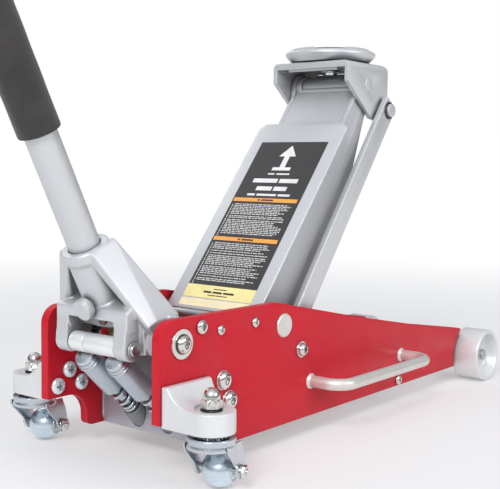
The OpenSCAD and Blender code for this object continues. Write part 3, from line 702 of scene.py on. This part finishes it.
def fastener_pieces():
    def outward(x, z, side, y=Y_OUT):
        return facing((x, side * y, z), (0, side, 0))

    def rod(bm, x, z, r, y1, y2):
        lathe(bm, [(0, y1), (r, y1), (r, y2), (0, y2)], facing((x, 0, z), (0, 1, 0)), 32)

    bm = bmesh.new()
    for x, z, r, h in ((91, 147, 5.5, 3.3), (149, 148, 5.6, 3.3), (464.5, 31.5, 6.5, 4)):
        head(bm, outward(x, z, -1), r, h)
        rod(bm, x, z, r * 0.5, -Y_OUT - 0.5, -68 if x < 400 else -73.5)
    finish(made(mirrored(bm), "small_frame_screws"), "frame_screws", 32, CHROME)

    bm = bmesh.new()
    head(bm, outward(60, 154, -1), 7.6, 5.4, "hex")
    mirrored(bm)
    rod(bm, 60, 154, 5, -Y_OUT - 0.5, Y_OUT + 0.5)
    finish(made(bm, "stop_rod_bolt"), "handle_stop_rod", 32, CHROME)

    bm = bmesh.new()
    for x, z in ((95.5, 93.5), (105.5, 70.5)):
        lathe(bm, [(6, 0), (10.7, 0), (10.8, 0.5), (10.3, 1.1), (6, 1.2)], outward(x, z, -1), 48)
        head(bm, outward(x, z, -1) @ Matrix.Translation((0, 0, 1.0)), 9.7, 6.2, "hex")
        rod(bm, x, z, 6, -Y_OUT - 0.5, -60)
    finish(made(mirrored(bm), "power_unit_screws"), "power_unit_bolts", 32, CHROME)

    bm = bmesh.new()
    x, z = SHAFT[0] + LINK_DX, SHAFT[1] + LINK_DZ
    lathe(bm, [(6, 0), (9.4, 0), (9.7, 0.5), (9.4, 1.5), (6, 1.7)], outward(x, z, -1), 56)
    head(bm, outward(x, z, -1) @ Matrix.Translation((0, 0, 1.6)), 7.6, 6.2, "hex")
    rod(bm, x, z, 8, -Y_OUT - 0.5, -58)
    rod(bm, x, z, 9.5, -60.5, -57)
    finish(made(mirrored(bm), "link_anchor_screws"), "link_anchor_bolts", 32, CHROME)

    bm = bmesh.new()
    lathe(bm, [(9, 0), (15.2, 0), (15.5, 0.5), (15.1, 1.7), (9, 2)], outward(*PIVOT, -1), 56)
    head(bm, outward(*PIVOT, -1) @ Matrix.Translation((0, 0, 2.2)), 9.3, 6.4, "hex")
    rod(bm, *PIVOT, 8, -Y_OUT - 1, -60)
    bm2 = bmesh.new()
    lathe(bm2, [(8, 1.9), (10, 1.9), (10.3, 2.4), (10, 2.9), (8, 3.0)], outward(*PIVOT, -1), 56)
    finish(made(mirrored(bm2), "handle_pivot_rings"), "handle_pivot_bolts", 32, DARK)
    finish(made(mirrored(bm), "handle_pivot_screws"), "handle_pivot_bolts", 32, CHROME)

    bm = bmesh.new()
    for x, z in ((29.5, 92.5), (13, 76.5), (46.5, 76)):
        place = facing((x, -Y_IN, z), (0, 1, 0))
        head(bm, place, 9, 5.6)
        lathe(bm, [(0, -20), (4, -20), (4, 0.5), (0, 0.5)], place, 24)
    finish(made(mirrored(bm), "bracket_heads"), "bracket_screws", 32, SCREW)

    # main shaft with chamfered ends and centre marks
    bm = bmesh.new()
    end = Y_OUT + 1.5
    half = [(0, -1.2), (1.6, 0.0), (12.4, 0.0), (13.2, -0.5), (13.6, -1.4), (13.8, -1.6)]
    profile = [(r, -end - z) for r, z in half] + [(r, end + z) for r, z in half[::-1]]
    lathe(bm, profile, facing((SHAFT[0], 0, SHAFT[1]), (0, 1, 0)), 64)
    finish(made(bm, "lift_shaft"), "main_shaft", 32, ROD)


# ------------------------------------------------------------------ casters

def caster_pieces():
    for side, label in ((1, "left"), (-1, "right")):
        x, y = STEM[0], side * STEM[1]

        # axle stem: washer, hexagon nut and polished dome above, bearing cup below
        bm = bmesh.new()
        place = Matrix.Translation((x, y, 0)) @ Matrix.Rotation(SWIVEL, 4, "Z")
        floor = SEAT_Z
        lathe(bm, [(5, floor), (10.7, floor), (11, floor + 0.5), (10.7, floor + 1.9), (5, floor + 2.1)],
              place, 48)
        finish(made(bm, f"nut_washer_{label}"), f"caster_stem_{label}", 32, DARK)
        bm = bmesh.new()
        nut = hexagon(18.6)
        base = floor + 2.1
        ring = 9.3
        profile = [(5, base), (9.0, base), (nut, base + 0.9), (nut, base + 8.2), (ring, base + 9.2),
                   (ring - 0.4, base + 9.4)]
        for i in range(0, 9):
            a = math.radians(90 * i / 8)
            profile.append((8.6 * math.cos(a) if i < 8 else 0, base + 11.5 + 9.0 * math.sin(a)))
        lathe(bm, profile, place, 72)
        finish(made(bm, f"cap_nut_{label}"), f"caster_stem_{label}", 32, CHROME)
        bm = bmesh.new()
        lathe(bm, [(0, 43), (8.6, 43), (9, 43.4), (9, 46), (6, 46.4), (6, 54.8), (13.2, 55), (14, 55.6),
                   (14, 60), (17.5, 60.2), (18, 60.6), (17.6, 61), (0, 61)], place, 56)
        finish(made(bm, f"swivel_race_{label}"), f"caster_stem_{label}", 32, ZINC)

        # bearing balls in the race
        bm = bmesh.new()
        for i in range(18):
            a = 2 * math.pi * i / 18
            at = place @ Matrix.Translation((16.6 * math.cos(a), 16.6 * math.sin(a), 58.3))
            bmesh.ops.create_uvsphere(bm, u_segments=10, v_segments=8, radius=1.9, matrix=at)
        dress(made(bm, f"race_balls_{label}"), f"caster_{label}", STEEL, smooth=80)

        # pressed fork: rolled ring and two curved legs
        bm = bmesh.new()
        ring = [(6.6, 49.6), (19.5, 49.6), (21.2, 48.6), (21.6, 46.2), (22.4, 45.5), (24, 45.7),
                (24.5, 46.8), (24.4, 49.5), (23.6, 51.0), (23.8, 53.0), (24.5, 54.4), (24.3, 56.6),
                (23.2, 57.6), (21.5, 57.4), (20.4, 56.0), (15.2, 55.2), (14.6, 54.0), (6.6, 54.0)]
        lathe(bm, ring, place, 64, closed=True)
        fork = made(bm, f"fork_{label}")
        finish(fork, f"caster_fork_{label}", 40, ZINC)
        bm = bmesh.new()
        for s in (-1, 1):
            rows = []
            for z, back, front, out in ((50.5, -15, 17, 22.2), (46, -14.5, 18.5, 22.6),
                                        (41, -10.5, 21.5, 22.6), (36, -5, 24, 22.3), (30, 1.5, 26, 22.0),
                                        (25, 7, 27, 21.9), (18.5, 10.5, 27.5, 21.9),
                                        (14, 13.0, 25.5, 21.9), (11.2, 16, 22, 21.9)):
                rows.append([(back + 2 + (front - back) * k / 6, z, out + 0.8 * abs(k / 3 - 1) ** 3)
                             for k in range(7)])
            for thick in (0.9, -0.9):
                grid = [[bm.verts.new(place @ Vector((px, s * (py + thick), pz))) for px, pz, py in row]
                        for row in rows]
                for a, b in zip(grid, grid[1:]):
                    for k in range(6):
                        bm.faces.new([a[k], a[k + 1], b[k + 1], b[k]])
                rim = [row[0] for row in grid] + grid[-1][1:]
                rim += [row[-1] for row in grid[-2::-1]] + grid[0][-2:0:-1]
                if thick > 0:
                    outer = rim
                else:
                    for k in range(len(rim)):
                        j = (k + 1) % len(rim)
                        bm.faces.new([outer[k], outer[j], rim[j], rim[k]])
        legs = made(bm, f"fork_legs_{label}")
        finish(legs, f"caster_fork_{label}", 50, ZINC)

        # axle with washers and nuts
        bm = bmesh.new()
        place = place @ facing((TRAIL, 0, BALL_R), (0, -1, 0))
        lathe(bm, [(0, -27.5), (3.2, -27.5), (hexagon(12), -26.6), (hexagon(12), -23.8), (5, -23.4),
                   (4, -23.4), (4, 22.9), (6.6, 22.9), (6.9, 23.3), (6.6, 24.2), (5.4, 24.3),
                   (hexagon(12.6), 24.9), (hexagon(12.6), 28.2), (5.2, 28.9), (3.6, 28.9), (3.6, 30.0),
                   (2.6, 30.4), (0, 30.4)], place, 48)
        finish(made(bm, f"roller_bolt_{label}"), f"caster_axle_{label}", 32, CHROME)

        # ball-shaped roller with hub faces
        bm = bmesh.new()
        profile = [(4.05, -16), (7.6, -16), (8.2, -15.4), (8.4, -14.6), (9.6, -14.8), (10.2, -15.4)]
        for i in range(0, 25):
            a = math.radians(-56 + 112 * i / 24)
            profile.append((BALL_R * math.cos(a), BALL_R * math.sin(a)))
        profile += [(10.2, 15.4), (9.6, 14.8), (8.4, 14.6), (8.2, 15.4), (7.6, 16), (4.05, 16)]
        lathe(bm, profile, place, 72, closed=True)
        finish(made(bm, f"ball_roller_{label}"), f"caster_ball_{label}", 32, BALL)


# ------------------------------------------------------------------ front wheels

def wheel_pieces():
    inner, width, radius = 81, 40, 38
    for side, label in ((1, "left"), (-1, "right")):
        place = facing((AXLE[0], side * inner, AXLE[1]), (0, side, 0))
        bm = bmesh.new()
        profile = [(8.1, 0.6), (13, 0.6), (14, 1.6), (30, 1.6), (31, 0.6), (36.2, 0.6), (37.4, 1.0),
                   (radius, 2.2), (radius, width - 2.4), (37.6, width - 1.0), (36.6, width - 0.2),
                   (33.6, width - 0.2), (32.8, width - 0.8), (32.2, width - 2.4), (31.0, 30), (29.4, 25.5),
                   (26.5, 22.6), (22, 21), (15.6, 20.2), (14.4, 20.6), (13.6, 21.6), (12.8, 22), (8.1, 22)]
        lathe(bm, profile, place, 96, closed=True)
        finish(made(bm, f"roller_wheel_{label}"), f"front_wheel_{label}", 30, ALU)

        # axle end: washer, retaining ring and pin head
        bm = bmesh.new()
        lathe(bm, [(8, 22.2), (12.4, 22.2), (12.8, 22.7), (12.4, 23.6), (8.4, 23.8), (8.4, 24.6), (11, 24.8),
                   (11.2, 25.6), (10.6, 26.4), (8.2, 26.6), (8.0, 31.0), (7.2, 32.2), (5.4, 32.8),
                   (2.2, 32.9), (1.2, 32.1), (0, 31.8)], place, 48)
        finish(made(bm, f"axle_cap_{label}"), "axle_nuts", 32, CHROME)


# ------------------------------------------------------------------ frame, arm, yoke, links

EDGES = {"arm_cover_plate": 0.8, "rear_cross_plate": 1.0, "front_tie_plate": 1.2, "cylinder_tube": 1.2,
         "cylinder_gland": 1.2, "ram": 0.8, "ram_roller": 1.0, "ram_roller_pin": 0.8, "pump_roller_pin": 0.9,
         "pump_rollers": 1.3, "valve_coupling_cup": 0.9, "release_valve_stem": 0.6,
         "upper_tie_rod": 0.6, "bracket_pin": 1.2, "pivot_spacers": 0.4, "front_axle": 1.0,
         "front_axle_tube": 0.8, "saddle_bolt": 0.7,
         "handle_lower_tube": 0.6, "handle_upper_tube": 0.6, "lift_arm": 0.9}


def structure_pieces():
    for side in ("left", "right"):
        node = "side_plate_" + side
        finish(rounded(copy_of(node), 2.2, 4, angle=40), node)
        node = "caster_bracket_" + side
        finish(cast(copy_of(node), 0.9, 4), node, 60)
        node = "radius_link_" + side
        finish(rounded(copy_of(node), 1.8, 4), node)
    finish(cast(copy_of("pump_block"), 1.1, 5), "pump_block", 60)
    for node, width in EDGES.items():
        finish(rounded(copy_of(node), width), node)

    # plate folded over the top with a soft radius along both sides
    yoke = copy_of("saddle_bracket")
    half, bend = 59, 7
    section = [(-half, YOKE_TOP - 90)] + arc(-half + bend, YOKE_TOP - bend, bend, 180, 90, 8)
    section += arc(half - bend, YOKE_TOP - bend, bend, 90, 0, 8) + [(half, YOKE_TOP - 90)]
    quarter = Matrix.Rotation(math.pi / 2, 4, "Z")
    boolean(yoke, prism(bmesh.new(), section, -PIN_B.x - 90, -PIN_B.x + 90, quarter), "INTERSECT")
    finish(rounded(yoke, 0.8), "saddle_bracket")


def hull(bm, points):
    """Adds the convex solid round the points."""
    new = [bm.verts.new(p) for p in points]
    out = bmesh.ops.convex_hull(bm, input=new)
    spare = {v for v in out["geom_interior"] + out["geom_unused"] if isinstance(v, bmesh.types.BMVert)}
    bmesh.ops.delete(bm, geom=list(spare), context="VERTS")
    return bm


def rod_y(bm, x, z, r, y1, y2, steps=48):
    """Round bar along Y."""
    return lathe(bm, [(0, y1), (r, y1), (r, y2), (0, y2)], facing((x, 0, z), (0, 1, 0)), steps)


def socket_piece():
    """Cast socket: tube and collar, two gussets with webs, drums, and ears for the pump roller."""
    bm = bmesh.new()
    px, pz = PIVOT
    lathe(bm, [(0, 18), (21.2, 20), (21.5, 40), (22, 92), (24.6, 96), (25, 98), (25, 106), (24.4, 107),
               (0, 107)], HANDLE, 72)
    body = [(-27, 25), (-28, 34), (-22, 46), (0, 48), (16, 38), (19, 14), (2, 15), (-14, 20)]
    prism(bm, body, -52, 52, HANDLE)
    for side in (-1, 1):
        low = [(px - 24, pz + 16), (px - 12, pz + 22), (52, 166), (46, 148), (px - 8, pz)]
        high = [HANDLE @ Vector((u, side * y, z)) for u in (-14, 20) for y in (19, 24.5) for z in (90, 106)]
        hull(bm, high + [Vector((x, side * y, z)) for x, z in low for y in (60, 66)])
        # web between the tube and the gusset, set back from both faces
        wall = [(14, 20), (14, 96), (21, 96), (63, 26), (63, 8), (40, 8)]
        hull(bm, [HANDLE @ Vector((u, side * y, z)) for y, z in wall for u in (1, 11)])
        rod_y(bm, px, pz, 18, side * 54, side * (Y_IN - 0.6), 64)
        ear = arc(*ROLLER, 12.2, 175, 320, 12) + [(px + 4, 133), (px + 14, 150), (4, 172), (-9, 163)]
        prism(bm, ear, side * 34, side * 51)
        prism(bm, [(12, 127), (px + 13, 127), (px + 13, 158), (8, 160)], side * 40, side * 57)
        prism(bm, [(36, 150), (50, 150), (56, 155), (56, 160), (36, 166)], side * 64, side * 72)
    ob = cast(made(bm, "cast_socket"), 1.15, 7)

    tool = bmesh.new()
    lathe(tool, [(0, 26), (HANDLE_R + 0.1, 26), (HANDLE_R + 0.1, 105.5), (HANDLE_R + 1.4, 108),
                 (HANDLE_R + 1.4, 120), (0, 120)], HANDLE, 72)
    boolean(ob, tool)
    tool = bmesh.new()
    lathe(tool, [(0, -45), (15, -45), (15, 27), (0, 27)], HANDLE, 48)
    boolean(ob, tool)
    boolean(ob, rod_y(bmesh.new(), *ROLLER, 12.4, -34, 34, 64))
    boolean(ob, block(bmesh.new(), (-40, -33, pz + 3), (8, 33, pz + 21)))
    boolean(ob, rod_y(bmesh.new(), px, pz, 8.05, -90, 90))
    boolean(ob, rod_y(bmesh.new(), *ROLLER, 6, -90, 90))
    boolean(ob, rod_y(bmesh.new(), 60, 154, 5.4, -90, 90))
    tool = bmesh.new()
    lathe(tool, [(0, 10), (6, 10), (6, 40), (0, 40)], HANDLE @ facing((0, 0, 50), (-1, 0, 0)), 32)
    boolean(ob, tool)
    finish(ob, "handle_socket", 45)

    # clamp screw of the handle, with a thick flat head
    bm = bmesh.new()
    lathe(bm, [(0, 16.8), (6, 16.8), (6, 24.2), (10.2, 24.4), (11.2, 25.2), (11.4, 26.4), (11.4, 31),
               (11.0, 31.4), (11.0, 31.9), (11.4, 32.3), (11.3, 33.4), (10.6, 34), (0, 34)],
          HANDLE @ facing((0, 0, 50), (-1, 0, 0)), 48)
    finish(made(bm, "clamp_screw"), "handle_lock_bolt", 32)


def pump_pieces():
    """Pistons with stepped caps, and the dust sleeves pressed on them."""
    caps, sleeves = bmesh.new(), bmesh.new()
    for side in (-1, 1):
        lathe(caps, [(0, 18), (9.6, 18), (11.4, 18.7), (12.2, 20), (12.4, 22.6), (11.9, 23), (11.9, 23.5),
                     (12.9, 23.9), (13.2, 24.6), (13.2, 26.6), (12.7, 27.0), (12.7, 27.4), (13.5, 27.8),
                     (13.8, 28.5), (13.8, 30.2), (13.3, 31), (5.8, 31.2), (5.8, 119.4), (5.2, 120), (0, 120)],
              pump_place(side), 56)
        lathe(sleeves, [(10.1, 31.3), (12.6, 31.3), (12.7, 33), (12.7, 75.6), (12.3, 76.6), (11.6, 77),
                        (10.6, 77), (10.1, 76.4)], pump_place(side), 56, closed=True)
    finish(made(caps, "piston_caps"), "pump_plungers", 32)
    finish(made(sleeves, "dust_sleeves"), "pump_sleeves", 32)


def saddle_piece():
    """Round saddle: chamfered rim with four shallow notches, dark ring that is both a guessed rubber pad and
    painted shade in the dish, ribs in the dish.
    """
    r, turn = 59.5, math.radians(33)
    place = Matrix.Translation((PIN_B.x - 3, 0, YOKE_TOP + 2)) @ Matrix.Rotation(turn, 4, "Z")
    bm = bmesh.new()
    lathe(bm, [(5.05, -9), (9.4, -9), (10, -8.4), (10, -1.6), (21.4, -1.6), (22, -1.0), (22, 0),
               (r - 9.5, 0), (r - 7.5, 0.8), (r - 1.2, 7.4), (r, 9.2), (r, 10.4), (r - 0.8, 12.0),
               (r - 7.6, 16.6), (r - 9, 17), (r - 12.4, 17), (r - 13.4, 16.4), (r - 15, 11.6),
               (r - 16.4, 11), (12, 11), (11, 10.2), (5.05, 10.2)],
          place, 120, closed=True)
    ob = made(bm, "saddle_disc")
    for a in (0, math.pi / 2):
        boolean(ob, block(bmesh.new(), (-100, -21, 14.2), (100, 21, 30), place @ Matrix.Rotation(a, 4, "Z")))
    finish(ob, "saddle", 30)
    # dark rubber ring inside the rim: a guessed pad that also stands in for the shade in the dish under the
    # notches
    bm = bmesh.new()
    lathe(bm, [(31, 10.6), (44.4, 10.6), (44.4, 15.6), (43.4, 16.6), (33, 16.6), (31, 15)],
          place, 96, closed=True)
    finish(made(bm, "saddle_pad_shade_ring"), "saddle", 35, GRIP)
    bm = bmesh.new()
    for i in range(8):
        rib = [(17, 10.6), (32, 10.6), (32, 13.6), (31, 14.2), (20, 14.2), (18, 13.6)]
        prism(bm, rib, -2.6, 2.6, place @ Matrix.Rotation(i * math.pi / 4, 4, "Z"))
    finish(rounded(made(bm, "saddle_ribs"), 0.8), "saddle", 40)


def link_pin_pieces():
    """Headed pins of the radius links, each with a retaining ring."""
    for name, look, profile in (
            ("link_pin_heads", GREY, [(0, 48.2), (11.6, 48.2), (12.4, 49), (12.4, 53), (9, 53), (9, 71.4),
                                      (8.0, 72.2), (8.0, 73.0), (8.8, 73.4), (8.8, 74.6), (8.0, 75.4),
                                      (0, 75.5)]),
            ("link_pin_rings", DARK, [(8.9, 70.5), (10.8, 70.5), (11.1, 70.9), (10.8, 71.7), (8.1, 71.8)])):
        bm = bmesh.new()
        lathe(bm, profile, facing((PIN_D.x, 0, PIN_D.z), (0, 1, 0)), 56)
        finish(made(mirrored(bm), name), "link_pins", 32, look)


def carry_pieces():
    for side, label in ((1, "left"), (-1, "right")):
        x1, x2, z, out, bend, r = 257.6, 471, 65, Y_OUT + 44, 22, 7
        path = [(x1, Y_IN + 1), (x1, Y_OUT), (x1, out - bend)]
        path += [(x1 + bend - bend * math.cos(a), out - bend + bend * math.sin(a))
                 for a in (math.pi / 2 * i / 12 for i in range(1, 13))]
        path += [(x1 + bend + (x2 - x1 - 2 * bend) * i / 4, out) for i in range(1, 4)]
        path += [(x2 - bend + bend * math.sin(a), out - bend + bend * math.cos(a))
                 for a in (math.pi / 2 * i / 12 for i in range(13))]
        path += [(x2, Y_OUT), (x2, Y_IN + 1)]
        bm = bmesh.new()
        sweep(bm, [(x, side * y, z) for x, y in path], r, 32)
        # welded foot of each end
        for x in (x1, x2):
            lathe(bm, [(6.5, -0.5), (9.6, -0.4), (9.2, 0.6), (8.2, 1.4), (7.3, 2.6), (6.5, 3.0)],
                  facing((x, side * Y_OUT, z), (0, side, 0)), 40)
        node = "carry_handle_" + label
        finish(made(bm, f"bent_rod_{label}"), node, 50)


def weld_pieces():
    """Fillet beads of the welded assemblies."""
    bm = bmesh.new()
    for side in (-1, 1):
        weld(bm, ARM @ Vector((40, side * 46, 8.4)), ARM @ Vector((280, side * 46, 4)), 2.4, seed=3)
        weld(bm, ARM @ Vector((40, side * 46, 3.6)), ARM @ Vector((340, side * 46, 0.6)), 2.4, seed=4)
    dress(made(bm, "arm_welds"), "arm", GREY, smooth=60)
    bm = bmesh.new()
    for side in (-1, 1):
        weld(bm, (PIN_B.x - 42, side * 53, YOKE_TOP - 8.6), (PIN_B.x + 36, side * 53, YOKE_TOP - 8.6),
             2.2, seed=5)
        weld(bm, (PIN_B.x + 41, side * 53, PIN_B.z - 6), (PIN_B.x + 41, side * 53, PIN_B.z + 18),
             2.2, seed=6)
    dress(made(bm, "yoke_welds"), "bracket", GREY, smooth=60)
    bm = bmesh.new()
    for side in (-1, 1):
        weld(bm, (81, side * 77, 28), (81, side * 77, 70), 2.4, seed=7)
        weld(bm, (446, side * 72, 28.2), (482, side * 72, 28.2), 2.0, seed=8)
    dress(made(bm, "frame_welds"), "chassis", PLATE, smooth=60)


handle_pieces()
spring_pieces()
label_pieces()
fastener_pieces()
caster_pieces()
wheel_pieces()
structure_pieces()
socket_piece()
pump_pieces()
saddle_piece()
link_pin_pieces()
carry_pieces()
weld_pieces()


# ------------------------------------------------------------------ camera, light and floor

def camera():
    data = bpy.data.cameras.new("camera")
    data.lens, data.sensor_width = 69.52, 36.0
    ob = bpy.data.objects.new("camera", data)
    yaw, pitch, roll = (math.radians(a) for a in (51.743, 4.675, 0.655))
    ahead = Vector((math.sin(yaw) * math.cos(pitch), math.cos(yaw) * math.cos(pitch), -math.sin(pitch)))
    right = Vector((math.cos(yaw), -math.sin(yaw), 0))
    up = right.cross(ahead)
    right, up = (right * math.cos(roll) + up * math.sin(roll), up * math.cos(roll) - right * math.sin(roll))
    turn = Matrix((right, up, -ahead)).transposed().to_4x4()
    ob.matrix_world = Matrix.Translation((-0.7835, -0.7248, 0.3174)) @ turn
    bpy.context.scene.collection.objects.link(ob)
    bpy.context.scene.camera = ob


def lamp(name, at, aim, size, power, colour=(1, 1, 1)):
    data = bpy.data.lights.new(name, "AREA")
    data.shape, data.size, data.size_y, data.energy, data.color = "RECTANGLE", size[0], size[1], power, colour
    ob = bpy.data.objects.new(name, data)
    turn = (Vector(aim) - Vector(at)).to_track_quat("-Z", "Y").to_matrix().to_4x4()
    ob.matrix_world = Matrix.Translation(at) @ turn
    bpy.context.scene.collection.objects.link(ob)


def studio():
    bm = bmesh.new()
    bmesh.ops.create_grid(bm, x_segments=2, y_segments=2, size=14)
    mesh = bpy.data.meshes.new("floor")
    bm.to_mesh(mesh)
    bm.free()
    floor = bpy.data.objects.new("floor", mesh)
    floor.location.z = -0.0005
    bpy.context.scene.collection.objects.link(floor)
    n = Nodes("floor_paper")
    # paper that turns up into an even white away from the object
    away = n.add("ShaderNodeVectorMath", {0: n.place}, operation="LENGTH").outputs["Value"]
    far = n.add("ShaderNodeMapRange", {0: away, 1: 0.7, 2: 2.6, 3: 0.0, 4: 1.0},
                interpolation_type="SMOOTHSTEP").outputs[0]
    mesh.materials.append(n.set(Base_Color=n.mix(far, (0.52, 0.52, 0.52), (0.02, 0.02, 0.02)), Roughness=0.95,
                                Specular_IOR_Level=0.0, Emission_Color=(1, 1, 1),
                                Emission_Strength=n.fit(far, 0.0, 1.0, 0.34, 1.0)))

    # soft studio all round: bright overhead and behind the camera, dark band along the horizon
    world = bpy.data.worlds.new("studio")
    bpy.context.scene.world = world
    world.use_nodes = True
    tree = world.node_tree
    tree.nodes.clear()

    def add(kind, inputs=(), **settings):
        n = tree.nodes.new(kind)
        for key, value in settings.items():
            setattr(n, key, value)
        for key, value in dict(inputs).items():
            if isinstance(value, bpy.types.NodeSocket):
                tree.links.new(value, n.inputs[key])
            else:
                n.inputs[key].default_value = value
        return n

    def ramp(value, low, high, to_low, to_high):
        return add("ShaderNodeMapRange", {0: value, 1: low, 2: high, 3: to_low, 4: to_high},
                   interpolation_type="SMOOTHSTEP").outputs[0]

    way = add("ShaderNodeTexCoord").outputs["Generated"]
    height = add("ShaderNodeSeparateXYZ", {0: way}).outputs["Z"]
    toward = add("ShaderNodeVectorMath", {0: way, 1: (-0.62, -0.42, 0.66)},
                 operation="DOT_PRODUCT").outputs["Value"]
    sky = ramp(height, -0.15, 0.75, 0.12, 0.44)
    glow = ramp(toward, 0.25, 0.95, 0.0, 0.45)
    off = add("ShaderNodeMath", {0: height, 1: 0.06}, operation="SUBTRACT").outputs[0]
    band = ramp(add("ShaderNodeMath", {0: off}, operation="ABSOLUTE").outputs[0], 0.02, 0.20, 0.35, 1.0)
    level = add("ShaderNodeMath", {0: sky, 1: glow}, operation="ADD").outputs[0]
    level = add("ShaderNodeMath", {0: level, 1: band}, operation="MULTIPLY").outputs[0]
    light = add("ShaderNodeBackground", {"Color": (0.93, 0.97, 1.04, 1), "Strength": level})
    white = add("ShaderNodeBackground", {"Color": (1, 1, 1, 1), "Strength": 1.0})
    ray = add("ShaderNodeLightPath").outputs["Is Camera Ray"]
    both = add("ShaderNodeMixShader", {0: ray, 1: light.outputs[0], 2: white.outputs[0]})
    add("ShaderNodeOutputWorld", {0: both.outputs[0]})
    lamp("key", (-2.3, -1.1, 2.1), (0, 0, 0.2), (1.2, 0.9), 60)
    lamp("fill", (0.5, -2.6, 1.3), (0.1, 0, 0.2), (1.6, 0.8), 22)
    lamp("back", (0.5, 2.4, 2.0), (0, 0, 0.3), (2.0, 1.0), 8)
    bpy.context.scene.view_settings.view_transform = "Standard"


camera()
studio()
